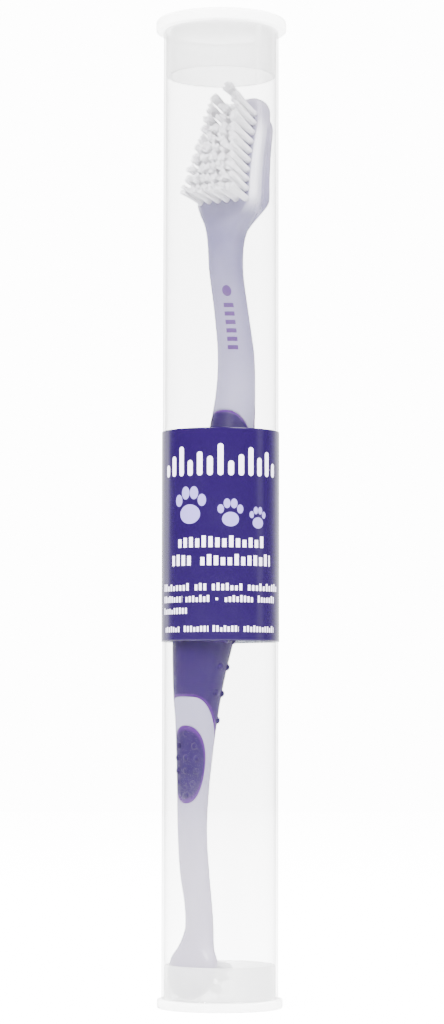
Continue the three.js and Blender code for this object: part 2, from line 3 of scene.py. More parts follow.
import bpy
import numpy as np
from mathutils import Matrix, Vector


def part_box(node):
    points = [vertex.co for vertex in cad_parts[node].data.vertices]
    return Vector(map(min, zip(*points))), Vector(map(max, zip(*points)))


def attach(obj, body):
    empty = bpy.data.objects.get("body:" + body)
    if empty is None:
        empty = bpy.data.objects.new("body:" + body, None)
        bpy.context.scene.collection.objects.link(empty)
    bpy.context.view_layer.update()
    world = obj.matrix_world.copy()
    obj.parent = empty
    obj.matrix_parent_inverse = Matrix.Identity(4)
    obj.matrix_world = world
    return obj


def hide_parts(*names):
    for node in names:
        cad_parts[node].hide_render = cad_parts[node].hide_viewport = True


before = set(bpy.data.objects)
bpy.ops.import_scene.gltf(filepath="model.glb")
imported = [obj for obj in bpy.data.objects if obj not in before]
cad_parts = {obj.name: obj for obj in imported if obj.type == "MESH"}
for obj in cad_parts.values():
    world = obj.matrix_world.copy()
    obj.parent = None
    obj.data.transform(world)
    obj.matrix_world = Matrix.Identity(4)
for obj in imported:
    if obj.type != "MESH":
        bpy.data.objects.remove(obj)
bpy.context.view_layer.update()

# ---------------------------------------------------------------- handle core
# The brush's body is one injection moulding of milky lavender polypropylene: a large angled head, a thin
# neck, a thick handle, a flat stem and a small head that faces the other way. The soft grips are moulded
# over it, and a small mark is pad-printed on the neck.

MM = 0.001  # in metres

SMALL_HEAD_LENGTH = 13.5
STEM_LENGTH = 51.5
GRIP_LENGTH = 63.5
NECK_LENGTH = 46.0
LARGE_HEAD_LENGTH = 24.8
SMALL_HALF_WIDTH = 5.95
LARGE_HALF_WIDTH = 8.0
PLATE_HALF = 2.4
STEM_FOOT = SMALL_HEAD_LENGTH
GRIP_ARCH = STEM_FOOT + STEM_LENGTH
GRIP_TOP = GRIP_ARCH + GRIP_LENGTH
HEAD_BASE = GRIP_TOP + NECK_LENGTH
BRUSH_LENGTH = HEAD_BASE + LARGE_HEAD_LENGTH

# Stations along the brush: height, how far forward the middle is, half width, half depth, squareness.
STATIONS = np.array(
    [
        [0, 1.9, SMALL_HALF_WIDTH * 0.72, 1.9, 3],
        [SMALL_HEAD_LENGTH * 0.22, 1.35, SMALL_HALF_WIDTH * 0.9, 1.95, 3.4],
        [SMALL_HEAD_LENGTH * 0.5, 0.8, SMALL_HALF_WIDTH, 1.95, 3.4],
        [SMALL_HEAD_LENGTH * 0.66, 0.45, SMALL_HALF_WIDTH * 0.97, 1.95, 3.2],
        [SMALL_HEAD_LENGTH * 0.82, 0.0, SMALL_HALF_WIDTH * 0.77, 2.0, 2.6],
        [SMALL_HEAD_LENGTH, -0.5, 3.85, 2.1, 2.3],
        [STEM_FOOT + STEM_LENGTH * 0.04, -0.7, 3.45, 2.2, 2.2],
        [STEM_FOOT + STEM_LENGTH * 0.13, 0.1, 3.3, 2.35, 2.2],
        [STEM_FOOT + STEM_LENGTH * 0.27, 2.15, 3.5, 2.5, 2.2],
        [STEM_FOOT + STEM_LENGTH * 0.44, 3.8, 3.5, 2.45, 2.2],
        [STEM_FOOT + STEM_LENGTH * 0.62, 4.45, 3.85, 2.65, 2.2],
        [STEM_FOOT + STEM_LENGTH * 0.78, 4.7, 4.4, 3.1, 2.2],
        [STEM_FOOT + STEM_LENGTH * 0.9, 4.85, 4.85, 3.7, 2.2],
        [GRIP_ARCH, 5.0, 5.4, 4.35, 2.2],
        [GRIP_ARCH + GRIP_LENGTH * 0.1, 4.75, 6.15, 5.0, 2.2],
        [GRIP_ARCH + GRIP_LENGTH * 0.2, 4.15, 6.9, 5.7, 2.2],
        [GRIP_ARCH + GRIP_LENGTH * 0.35, 2.9, 7.4, 6.2, 2.2],
        [GRIP_ARCH + GRIP_LENGTH * 0.55, 1.3, 7.1, 6.0, 2.2],
        [GRIP_ARCH + GRIP_LENGTH * 0.8, -0.5, 6.1, 5.3, 2.2],
        [GRIP_TOP - GRIP_LENGTH * 0.06, -1.5, 5.1, 4.5, 2.2],
        [GRIP_TOP + NECK_LENGTH * 0.1, -2.0, 4.4, 3.95, 2.2],
        [GRIP_TOP + NECK_LENGTH * 0.28, -1.3, 4.15, 3.65, 2.2],
        [GRIP_TOP + NECK_LENGTH * 0.48, 1.3, 3.95, 3.3, 2.2],
        [GRIP_TOP + NECK_LENGTH * 0.66, 3.9, 3.9, 3.2, 2.3],
        [GRIP_TOP + NECK_LENGTH * 0.8, 4.7, 4.15, 3.3, 2.5],
        [GRIP_TOP + NECK_LENGTH * 0.88, 4.6, LARGE_HALF_WIDTH * 0.66, 3.0, 3],
        [GRIP_TOP + NECK_LENGTH * 0.95, 4.45, LARGE_HALF_WIDTH * 0.9, PLATE_HALF + 0.15, 3.8],
        [HEAD_BASE, 4.2, LARGE_HALF_WIDTH, PLATE_HALF, 5],
        [HEAD_BASE + LARGE_HEAD_LENGTH * 0.2, 2.95, LARGE_HALF_WIDTH * 0.88, PLATE_HALF, 5],
        [HEAD_BASE + LARGE_HEAD_LENGTH * 0.45, 1.35, LARGE_HALF_WIDTH * 0.745, PLATE_HALF * 0.97, 5],
        [HEAD_BASE + LARGE_HEAD_LENGTH * 0.75, -0.6, LARGE_HALF_WIDTH * 0.64, PLATE_HALF * 0.9, 5],
        [BRUSH_LENGTH, -2.2, LARGE_HALF_WIDTH * 0.53, PLATE_HALF * 0.82, 4],
    ]
)
TIP_ROUND_WIDTH = 4.6
TIP_ROUND_DEPTH = 1.3


def station_value(height, column):
    """One column of STATIONS at any height: between two stations a cubic, whose slope at each of them is the
    slope of the straight line between its two neighbours."""
    at, value = STATIONS[:, 0], STATIONS[:, column]
    below = np.maximum(np.arange(len(at)) - 1, 0)
    above = np.minimum(np.arange(len(at)) + 1, len(at) - 1)
    slope = (value[above] - value[below]) / (at[above] - at[below])
    i = np.clip(np.searchsorted(at, height) - 1, 0, len(at) - 2)
    span = at[i + 1] - at[i]
    t = np.clip((height - at[i]) / span, 0, 1)
    return (
        (2 * t**3 - 3 * t**2 + 1) * value[i]
        + (t**3 - 2 * t**2 + t) * span * slope[i]
        + (3 * t**2 - 2 * t**3) * value[i + 1]
        + (t**3 - t**2) * span * slope[i + 1]
    )


def quarter_round(distance, reach):
    """0 at a tip, rising along a quarter circle to 1 at the given reach from it."""
    return np.sqrt(np.clip(1 - (1 - np.clip(distance / reach, 0, 1)) ** 2, 0, 1))


def brush_section(height):
    """Forward shift, half width, half depth and squareness of the brush at each height. Both tips close."""
    from_tip = np.minimum(height, BRUSH_LENGTH - height)
    return (
        station_value(height, 1),
        station_value(height, 2) * quarter_round(from_tip, TIP_ROUND_WIDTH),
        station_value(height, 3) * quarter_round(from_tip, TIP_ROUND_DEPTH),
        station_value(height, 4),
    )


def on_section(section, turn, height, offset=0.0):
    """A point on a superellipse: x is the half width times sin(turn) to the power 2/squareness, and y the
    half depth times cos(turn) to that power, towards -Y, from the section's middle. Offset widens both."""
    forward, half_width, half_depth, square = section
    x = np.sign(np.sin(turn)) * np.abs(np.sin(turn)) ** (2 / square) * np.maximum(half_width + offset, 0)
    y = np.sign(np.cos(turn)) * np.abs(np.cos(turn)) ** (2 / square) * np.maximum(half_depth + offset, 0)
    return np.stack(np.broadcast_arrays(x, -y - forward, height), axis=-1)


def even_turn(direction, square):
    """The turn that puts a superellipse's point in a direction: sine and cosine to the power square/2."""
    across = np.sign(np.sin(direction)) * np.abs(np.sin(direction)) ** (square / 2)
    ahead = np.sign(np.cos(direction)) * np.abs(np.cos(direction)) ** (square / 2)
    return np.arctan2(across, ahead)


FACING = math.radians(-38)
LEAN_BACK = math.radians(-3.7)
LEAN_SIDE = math.radians(1.4)
FOOT_SIDE = -2.4
FOOT_FORWARD = 6.3
FOOT_HEIGHT = 2.0


def stood_in_case(points):
    """Points of the brush, upright about its own line, leant back and sideways, turned, and set down in the
    bottom plug: three rotations, then a shift, in millimetres."""
    cb, sb = math.cos(LEAN_BACK), math.sin(LEAN_BACK)
    cs, ss = math.cos(LEAN_SIDE), math.sin(LEAN_SIDE)
    cf, sf = math.cos(FACING), math.sin(FACING)
    about_x = np.array([[1, 0, 0], [0, cb, -sb], [0, sb, cb]])
    about_y = np.array([[cs, 0, ss], [0, 1, 0], [-ss, 0, cs]])
    about_z = np.array([[cf, -sf, 0], [sf, cf, 0], [0, 0, 1]])
    foot = about_z @ np.array([FOOT_SIDE, -FOOT_FORWARD, 0]) + np.array([0, 0, FOOT_HEIGHT])
    return points @ (about_z @ about_x @ about_y).T + foot


def grid_faces(rows, columns, start=0, round_rows=False):
    """Quads of a grid numbered row by row from start. Each row is a ring, and round_rows joins the last ring
    to the first."""
    r = np.arange(rows if round_rows else rows - 1)
    r, c = (index.ravel() for index in np.meshgrid(r, np.arange(columns), indexing="ij"))
    up, along = (r + 1) % rows, (c + 1) % columns
    corners = [r * columns + c, r * columns + along, up * columns + along, up * columns + c]
    return np.stack(corners, axis=-1) + start


def fan_faces(ring, centre, flip=False):
    """Triangles from each side of a closed ring of point numbers to one centre point."""
    after = np.roll(ring, -1)
    middle = np.full(len(ring), centre)
    return np.stack([ring, middle, after] if flip else [ring, after, middle], axis=-1)


def capped_faces(rows, columns):
    """A grid's quads, with a fan at each end to the two tip points that are numbered after the grid."""
    first = np.arange(columns)
    last = first + (rows - 1) * columns
    tip = rows * columns
    return grid_faces(rows, columns), fan_faces(first, tip, flip=True), fan_faces(last, tip + 1)


def mesh_piece(name, points, *faces):
    """An object at the origin whose mesh has these points, in millimetres, and these groups of faces."""
    mesh = bpy.data.meshes.new(name)
    corners = np.concatenate([group.ravel() for group in faces])
    sides = np.concatenate([np.full(len(group), group.shape[1]) for group in faces])
    mesh.vertices.add(len(points))
    mesh.vertices.foreach_set("co", (points * MM).astype(np.float32).ravel())
    mesh.loops.add(len(corners))
    mesh.loops.foreach_set("vertex_index", corners.astype(np.int32))
    mesh.polygons.add(len(sides))
    mesh.polygons.foreach_set("loop_start", (np.cumsum(sides) - sides).astype(np.int32))
    mesh.update(calc_edges=True)
    mesh.shade_smooth()
    piece = bpy.data.objects.new(name, mesh)
    bpy.context.scene.collection.objects.link(piece)
    return piece


def put_uv(piece, u, v):
    """A UV map that holds u and v, given for each point of the mesh, at every corner that uses the point."""
    mesh = piece.data
    used = np.zeros(len(mesh.loops), np.int32)
    mesh.loops.foreach_get("vertex_index", used)
    layer = mesh.uv_layers.new(name="UVMap")
    layer.data.foreach_set("uv", np.stack([u[used], v[used]], axis=-1).astype(np.float32).ravel())


class Wire:
    """A socket in a material's nodes. Arithmetic on it adds Math nodes, and node() adds any other node."""

    def __init__(self, tree, socket=None):
        self.tree, self.socket = tree, socket

    def node(self, kind, settings=None, outlet=0, **inlets):
        """A node of a kind. Its settings are set first, and an inlet is a number, a colour or a Wire."""
        made = self.tree.nodes.new(kind)
        for key, value in (settings or {}).items():
            if key == "stops":
                for i, (place, colour) in enumerate(value):
                    stop = made.color_ramp.elements[i] if i < 2 else made.color_ramp.elements.new(place)
                    stop.position, stop.color = place, colour
            else:
                setattr(made, key, value)
        for key, value in inlets.items():
            socket = made.inputs[int(key[1:])] if key[0] == "_" else made.inputs[key.replace("_", " ")]
            if isinstance(value, Wire):
                self.tree.links.new(value.socket, socket)
            else:
                socket.default_value = value
        return Wire(self.tree, made.outputs[outlet])

    def maths(self, operation, *numbers):
        inlets = {f"_{i}": number for i, number in enumerate(numbers)}
        return self.node("ShaderNodeMath", {"operation": operation}, **inlets)

    def __add__(self, other):
        return self.maths("ADD", self, other)

    def __sub__(self, other):
        return self.maths("SUBTRACT", self, other)

    def __mul__(self, other):
        return self.maths("MULTIPLY", self, other)

    def __truediv__(self, other):
        return self.maths("DIVIDE", self, other)

    def __radd__(self, other):
        return self.maths("ADD", other, self)

    def __rsub__(self, other):
        return self.maths("SUBTRACT", other, self)

    def __rmul__(self, other):
        return self.maths("MULTIPLY", other, self)

    def size(self):
        return self.maths("ABSOLUTE", self)

    def soft_step(self, low, high):
        """0 below low, 1 above high, and a smooth rise between."""
        settings = {"interpolation_type": "SMOOTHSTEP"}
        return self.node("ShaderNodeMapRange", settings, Value=self, _1=low, _2=high)

    def between(self, low, high, soft):
        """1 from low to high, falling to 0 over the soft distance outside either."""
        return self.soft_step(low - soft, low) * (1 - self.soft_step(high, high + soft))

    def noise(self, place, scale, detail=2.0, roughness=0.5):
        inlets = {"Vector": place, "Scale": scale, "Detail": detail, "Roughness": roughness}
        return self.node("ShaderNodeTexNoise", None, 0, **inlets)

    def blend(self, first, second, share):
        """One colour turning into another as share goes from 0 to 1."""
        return self.node("ShaderNodeMix", {"data_type": "RGBA"}, 2, _0=share, _6=first, _7=second)

    def bumped(self, height, distance, strength=1.0):
        return self.node("ShaderNodeBump", None, 0, Height=height, Distance=distance, Strength=strength)


def finish(name, **sockets):
    """A material with one Principled shader, its plain sockets set, and a Wire to build the rest with."""
    material = bpy.data.materials.new(name)
    material.use_nodes = True
    tree = material.node_tree
    shader = tree.nodes["Principled BSDF"]
    for key, value in sockets.items():
        shader.inputs[key.replace("_", " ")].default_value = value
    return material, shader, Wire(tree)


def wire_in(wire, shader, socket):
    wire.tree.links.new(wire.socket, shader.inputs[socket])


def whole_turn(count):
    return np.arange(count) * (2 * np.pi / count)


def body_heights(step, tip_steps):
    """Heights up the brush at an even step, and closer together on a cosine where each tip closes."""
    closing = TIP_ROUND_WIDTH * (1 - np.cos(np.linspace(0.02, np.pi / 2, tip_steps)))
    count = round((BRUSH_LENGTH - 2 * TIP_ROUND_WIDTH) / step)
    middle = np.linspace(TIP_ROUND_WIDTH, BRUSH_LENGTH - TIP_ROUND_WIDTH, count + 1)[1:-1]
    return np.concatenate([closing, middle, BRUSH_LENGTH - closing[::-1]])


# The soft grip's area on the core, in degrees round the brush from its front and millimetres up it.
TONGUE_RISE = 4.4
TONGUE_SHOULDER = 4.0
RAIL_DEPTH = 23.0
TAIL_DROP = 17.0
RAIL_ANGLE = 97.0
RAIL_HALF_ANGLE = 11.0
PAD_CENTRE = STEM_FOOT + 36.9
PAD_LENGTH = 16.7
PAD_HALF_ANGLE = 71.0
PAD_HALF_WIDTH = 4.5


def from_front(turn):
    """Degrees from the brush's front, 0 to 180, whichever way round."""
    return np.abs((np.degrees(turn) + 180) % 360 - 180)


def tongue_top(degrees):
    """The grip's upper edge: each tongue's middle less a shoulder that falls with the power 2.4 of the share
    of the way to its side."""
    ahead = degrees < RAIL_ANGLE
    half = np.where(ahead, RAIL_ANGLE - RAIL_HALF_ANGLE, 180 - RAIL_ANGLE - RAIL_HALF_ANGLE)
    off = np.where(ahead, degrees, 180 - degrees)
    shoulder = TONGUE_SHOULDER * np.minimum(off / half, 1.3) ** 2.4
    return GRIP_TOP + np.where(ahead, 0, TONGUE_RISE) - shoulder


def grip_foot(degrees):
    """The grip's lower edge: an arch over the front that falls to a rounded tail behind."""
    return GRIP_ARCH - TAIL_DROP * ((1 - np.cos(np.radians(degrees))) / 2) ** 1.7


def inside_grip(turn, height):
    """Millimetres inside the grip's edge, less than 0 outside it: the least of the ways to its foot, its top
    and the bare rail at each side, each measured square to that edge."""
    degrees = from_front(turn)
    radius = station_value(height, 3)
    slope = (grip_foot(degrees + 1) - grip_foot(degrees - 1)) / (2 * radius * math.radians(1))
    up = (height - grip_foot(degrees)) / np.hypot(1, slope)
    down = tongue_top(degrees) - height
    off_rail = (np.abs(degrees - RAIL_ANGLE) - RAIL_HALF_ANGLE) * np.radians(1) * radius
    rail = np.maximum(off_rail, GRIP_TOP - RAIL_DEPTH - height)
    return np.minimum(np.minimum(up, down), rail)


def inside_pad(turn, height):
    """Millimetres inside the oval thumb pad's rim, about: its half width round the stem times 1 less the
    distance from its middle, scaled to the oval."""
    along = (height - PAD_CENTRE) / (PAD_LENGTH / 2)
    around = ((np.degrees(turn) + 180) % 360 - 180) / PAD_HALF_ANGLE
    return (1 - np.hypot(along, around)) * PAD_HALF_WIDTH


CORE_COLUMNS = 120
CORE_STEP = 0.36
TIP_RINGS = 14
RECESS = 1.0
RECESS_MARGIN = 0.05
RECESS_WALL = 0.3

# Under the rubber the surface sinks to the recess's floor, down a steep wall at the rubber's edge.
heights = body_heights(CORE_STEP, TIP_RINGS)[:, None]
section = brush_section(heights)
turn = even_turn(whole_turn(CORE_COLUMNS)[None, :], section[3])
inside = np.maximum(inside_grip(turn, heights), inside_pad(turn, heights))
sunk = -RECESS * np.clip((inside + RECESS_MARGIN) / RECESS_WALL, 0, 1)
outline = on_section(section, turn, heights, sunk)
tips = np.array([[0, -station_value(h, 1), h] for h in (0.0, BRUSH_LENGTH)])
core_points = np.concatenate([outline.reshape(-1, 3), tips])
core = mesh_piece(
    "brush_body",
    stood_in_case(core_points),
    *capped_faces(len(heights), CORE_COLUMNS),
)
# The UV map holds degrees round the brush from its front and millimetres up it, as shares of UV_SPAN.
UV_SPAN = 100
core_degrees = (np.degrees(np.broadcast_to(turn, outline.shape[:2])) + 180) % 360 - 180
put_uv(
    core,
    np.concatenate([core_degrees.ravel(), [0, 0]]) / UV_SPAN,
    np.concatenate([np.broadcast_to(heights, outline.shape[:2]).ravel(), [0, BRUSH_LENGTH]]) / UV_SPAN,
)

PRINT_VIOLET = (0.05, 0.004, 0.11, 1)

milky, shader, wire = finish(
    "milky_lavender_plastic",
    Roughness=0.32,
    IOR=1.49,
    Subsurface_Weight=0.35,
    Subsurface_Radius=(0.9, 0.85, 1.2),
    Subsurface_Scale=0.0008,
)
place = wire.node("ShaderNodeTexCoord", None, 3)
uv = wire.node("ShaderNodeUVMap", {"uv_map": "UVMap"})
across = wire.node("ShaderNodeSeparateXYZ", None, 0, Vector=uv) * UV_SPAN
up = wire.node("ShaderNodeSeparateXYZ", None, 1, Vector=uv) * UV_SPAN
cloud = wire.noise(place, 90, 3)
streak = wire.noise(place, 900, 2, 0.6)
# The plastic's tone up the brush: paler towards both tips, and darkest in the neck just under the large head.
TONES = [
    (0.0, (0.32, 0.285, 0.38, 1)),
    ((STEM_FOOT + 20) / BRUSH_LENGTH, (0.26, 0.235, 0.33, 1)),
    (GRIP_ARCH / BRUSH_LENGTH, (0.255, 0.245, 0.36, 1)),
    ((GRIP_TOP + 5) / BRUSH_LENGTH, (0.25, 0.235, 0.35, 1)),
    ((HEAD_BASE - 24) / BRUSH_LENGTH, (0.18, 0.165, 0.275, 1)),
    ((HEAD_BASE - 8) / BRUSH_LENGTH, (0.115, 0.106, 0.2, 1)),
    ((HEAD_BASE + 4) / BRUSH_LENGTH, (0.2, 0.185, 0.29, 1)),
    (1.0, (0.34, 0.315, 0.4, 1)),
]
tone = wire.node("ShaderNodeValToRGB", {"stops": TONES}, 0, Fac=up / BRUSH_LENGTH)
body_colour = wire.blend(tone, (0.5, 0.48, 0.6, 1), cloud * 0.14 - 0.04)
# The plate's side edge is painted brighter, towards white: painted light where light comes through the thin
# edge.
painted_edge_light = (across.size() - 80).between(-34, 4, 12) * up.between(HEAD_BASE + 2, BRUSH_LENGTH - 10, 6)
body_colour = wire.blend(body_colour, (0.8, 0.79, 0.85, 1), painted_edge_light * 0.75)
# The neck's printed mark: a round spot, then short dashes in a row along the neck.
MARK_ANGLE = 24.0
MARK_MIDDLE = GRIP_TOP + NECK_LENGTH * 0.42
DASH_PITCH = 1.8
run = (up - (MARK_MIDDLE - 8)) / DASH_PITCH
dash = ((run - run.maths("FLOOR", run)) - 0.42).size()
dashes = (1 - dash.soft_step(0.24, 0.27)) * up.between(MARK_MIDDLE - 6.2, MARK_MIDDLE + 4.6, 0.05)
dashes = dashes * (across - MARK_ANGLE).between(-17, 17, 1)
spot_side = wire.maths("POWER", (across - MARK_ANGLE) * 0.07, 2.0)
spot = spot_side + wire.maths("POWER", up - (MARK_MIDDLE + 6.6), 2.0)
mark = wire.maths("MAXIMUM", dashes, 1 - spot.soft_step(1.2, 1.5)) * 0.97
wire_in(wire.blend(body_colour, PRINT_VIOLET, mark), shader, "Base Color")
wire_in(cloud * 0.14 + 0.25, shader, "Roughness")
# The two halves of the mould leave a fine parting line up each side.
parting = 1 - (across.size() - 97).size().soft_step(0.6, 1.6)
wire_in(wire.bumped(parting * 0.5 + streak * 0.12 + cloud * 0.25, 0.0001, 0.6), shader, "Normal")
core.data.materials.append(milky)
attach(core, "toothbrush")
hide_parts("handle_core")

# The large head's back is a second raised layer of the same moulding. It follows the front plate's outline
# a little inside it, starts in the neck's back and thins out towards the tip.

BACK_RISE = 10.0
BACK_FOOT = HEAD_BASE - BACK_RISE
BACK_TOP = BRUSH_LENGTH - 3.4
BACK_THICKNESS = 3.3
BACK_THINNING = 0.62
BACK_INSET = 0.2
BACK_BITE = 1.2
BACK_RINGS = 70
BACK_COLUMNS = 120

closing = TIP_ROUND_WIDTH * (1 - np.cos(np.linspace(0.03, np.pi / 2, TIP_RINGS)))[::-1]
straight = np.linspace(BACK_FOOT, BACK_TOP - TIP_ROUND_WIDTH, BACK_RINGS)[:-1]
layer_heights = np.concatenate([straight, BACK_TOP - closing])[:, None]
plate = brush_section(layer_heights)
along = np.clip((layer_heights - BACK_FOOT) / (BACK_TOP - BACK_FOOT), 0, 1)
swell = np.clip((layer_heights - BACK_FOOT) / (BACK_RISE + 1), 0, 1)
swell = 0.02 + 0.98 * swell**2 * (3 - 2 * swell)
thick = BACK_THICKNESS * (1 - BACK_THINNING * along) * swell
bite = np.minimum(BACK_BITE, plate[2])
rounding = quarter_round(BACK_TOP + 0.01 - layer_heights, TIP_ROUND_WIDTH)
layer_section = (
    plate[0] - plate[2] + bite / 2 - thick / 2,
    (plate[1] - BACK_INSET) * rounding * (0.55 + 0.45 * swell),
    (bite + thick) / 2,
    plate[3],
)
layer_turn = even_turn(whole_turn(BACK_COLUMNS)[None, :], plate[3])
layer_outline = on_section(layer_section, layer_turn, layer_heights)
layer_tips = np.array([[0, -layer_section[0][i, 0], layer_heights[i, 0]] for i in (0, -1)])
head_back = mesh_piece(
    "large_head_back",
    stood_in_case(np.concatenate([layer_outline.reshape(-1, 3), layer_tips])),
    *capped_faces(len(layer_heights), BACK_COLUMNS),
)
layer_v = np.broadcast_to(layer_heights, layer_outline.shape[:2]).ravel()
put_uv(
    head_back,
    np.full(len(layer_v) + 2, 180 / UV_SPAN),
    np.concatenate([layer_v, [BACK_FOOT, BACK_TOP]]) / UV_SPAN,
)
head_back.data.materials.append(milky)
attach(head_back, "toothbrush")

# ---------------------------------------------------------------- grip sleeve
# Violet thermoplastic rubber moulded round the handle in a second shot. It lies flush in the core's recess
# and grips it by its front and back tongues. Where it thins out at its edge it shows a brighter violet, and
# two rows of round bumps run up each side.

GRIP_THICKNESS = 0.9
GRIP_ROWS = 150
GRIP_RIM_SINK = 0.16
GRIP_RIM_REACH = 0.35
BUMP_RADIUS = 0.75
BUMP_PROUD = 0.6
BUMP_PITCH = 5.8
BUMP_ANGLES = (85, 115, 245, 275)
FIRST_BUMP = GRIP_ARCH - 4.7
DOME_RINGS = 7
DOME_SIDES = 18
WELL_INSIDE = 4.0

grip_degrees = np.concatenate(
    [
        np.linspace(0, RAIL_ANGLE - RAIL_HALF_ANGLE - 2, 34),
        RAIL_ANGLE + RAIL_HALF_ANGLE * np.array([-1.12, -1.06, -1, -0.94, -0.88]),
        np.linspace(RAIL_ANGLE - 8, RAIL_ANGLE + 8, 8),
        RAIL_ANGLE + RAIL_HALF_ANGLE * np.array([0.88, 0.94, 1, 1.06, 1.12]),
        np.linspace(RAIL_ANGLE + RAIL_HALF_ANGLE + 2, 180, 26),
    ]
)
both_ways = np.concatenate([grip_degrees, 360 - grip_degrees[-2:0:-1]])
sides = from_front(np.radians(both_ways))


def grip_top_edge(degrees):
    """The tongues' tops, dropping steeply but smoothly to the rails' foot beside each bare rail."""
    beside = np.clip((np.abs(degrees - RAIL_ANGLE) - RAIL_HALF_ANGLE) / 1.4 + 0.5, 0, 1)
    beside = beside**2 * (3 - 2 * beside)
    foot = GRIP_TOP - RAIL_DEPTH
    return foot + (tongue_top(degrees) - foot) * beside


share = (np.arange(GRIP_ROWS + 1) / GRIP_ROWS)[:, None]
grip_low, grip_high = grip_foot(sides)[None, :], grip_top_edge(sides)[None, :]
grip_height = grip_low + (grip_high - grip_low) * share
grip_turn = np.radians(both_ways)[None, :] + 0 * share
edge_way = np.maximum(inside_grip(grip_turn, grip_height), 0)
rim_round = -GRIP_RIM_SINK * (1 - quarter_round(edge_way, GRIP_RIM_REACH))
outer = on_section(brush_section(grip_height), grip_turn, grip_height, rim_round)
inner = on_section(brush_section(grip_height), grip_turn, grip_height, -GRIP_THICKNESS)
shell = np.concatenate([outer, inner[::-1]])
grip_points = [shell.reshape(-1, 3)]
grip_faces = [grid_faces(2 * (GRIP_ROWS + 1), len(both_ways), round_rows=True)]
grip_edge = [np.concatenate([edge_way, edge_way[::-1]]).ravel()]


def dome_grid(centre, outward, radius, proud):
    """A low dome's rings, from its rim, which is sunk, to its crown: radius*cos(t) wide and raised by
    proud*sin(t) along a direction."""
    t = np.linspace(-0.35, np.pi / 2, DOME_RINGS)
    aside = np.cross(outward, [0.0, 0.0, 1.0])
    aside /= np.linalg.norm(aside)
    upward = np.cross(aside, outward)
    turn = whole_turn(DOME_SIDES)
    flat = np.cos(turn)[None, :, None] * aside + np.sin(turn)[None, :, None] * upward
    spread = radius * np.cos(t)[:, None, None] * flat
    return (centre + spread + proud * np.sin(t)[:, None, None] * outward).reshape(-1, 3)


def add_dome(points, faces, edges, turn, height, radius, proud):
    """Adds one bump, standing square to the brush's surface at a turn and a height, to a piece's lists. Its
    points count as well inside the rubber's edge."""
    here = on_section(brush_section(np.float64(height)), turn, np.float64(height))
    aside = on_section(brush_section(np.float64(height)), turn + 0.01, np.float64(height)) - here
    above = on_section(brush_section(np.float64(height + 0.1)), turn, np.float64(height + 0.1)) - here
    outward = np.cross(aside, above)
    outward /= np.linalg.norm(outward)
    start = sum(len(group) for group in points)
    dome = dome_grid(here, outward, radius, proud)
    points.append(np.concatenate([dome, [here - 0.3 * outward]]))
    faces.append(grid_faces(DOME_RINGS, DOME_SIDES, start))
    faces.append(fan_faces(np.arange(DOME_SIDES) + start, start + DOME_RINGS * DOME_SIDES, flip=True))
    edges.append(np.full(DOME_RINGS * DOME_SIDES + 1, WELL_INSIDE))


bump_rows = int((GRIP_TOP - RAIL_DEPTH - 1 - FIRST_BUMP) / BUMP_PITCH) + 1
for row in range(bump_rows):
    bump_height = FIRST_BUMP + BUMP_PITCH * row
    for bump_angle in BUMP_ANGLES:
        if bump_height - grip_foot(np.float64(bump_angle)) > 2 * BUMP_RADIUS:
            add_dome(
                grip_points,
                grip_faces,
                grip_edge,
                math.radians(bump_angle),
                bump_height,
                BUMP_RADIUS,
                BUMP_PROUD,
            )

grip = mesh_piece("grip_rubber", stood_in_case(np.concatenate(grip_points)), *grip_faces)


def put_value(piece, name, values):
    """A number for each point of the mesh, which a material can read by name."""
    layer = piece.data.attributes.new(name, "FLOAT", "POINT")
    layer.data.foreach_set("value", values.astype(np.float32))


put_value(grip, "edge", np.concatenate(grip_edge))

VIOLET = (0.0085, 0.0008, 0.046, 1)
VIOLET_EDGE = (0.055, 0.005, 0.13, 1)

rubber, shader, wire = finish(
    "violet_soft_rubber",
    Roughness=0.42,
    IOR=1.5,
    Specular_IOR_Level=0.2,
    Subsurface_Weight=0.1,
    Subsurface_Radius=(0.5, 0.3, 1.0),
    Subsurface_Scale=0.001,
    Sheen_Weight=0.05,
)
place = wire.node("ShaderNodeTexCoord", None, 3)
edge = wire.node("ShaderNodeAttribute", {"attribute_name": "edge"}, 2)
mottle = wire.noise(place, 160, 3)
grain = wire.noise(place, 2600, 2, 0.6)
thin = (1 - edge.soft_step(0.15, 0.75)) * 0.9 + mottle * 0.12
wire_in(wire.blend(VIOLET, VIOLET_EDGE, thin), shader, "Base Color")
wire_in(mottle * 0.2 + 0.33, shader, "Roughness")
wire_in(wire.bumped(grain, 0.00003, 0.5), shader, "Normal")
grip.data.materials.append(rubber)
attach(grip, "toothbrush")
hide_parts("grip_sleeve")

# ---------------------------------------------------------------- thumb pad
# An oval inlay of the same violet rubber in the front of the stem, moulded with the sleeve and flush with
# the plastic round it. A few low bumps stand on it for the thumb.

PAD_RINGS = 36
PAD_COLUMNS = 96
PAD_THICKNESS = 0.8
PAD_RIM_SINK = 0.12
PAD_RIM_REACH = 0.3
PAD_BUMP_RADIUS = 0.7
PAD_BUMP_PROUD = 0.4
# Each bump's degrees from the front, either way, and its share of the way from the middle to the oval's ends.
PAD_BUMPS = ((0, 0.17), (0, 0.8), (36, 0.17), (26, 0.48))

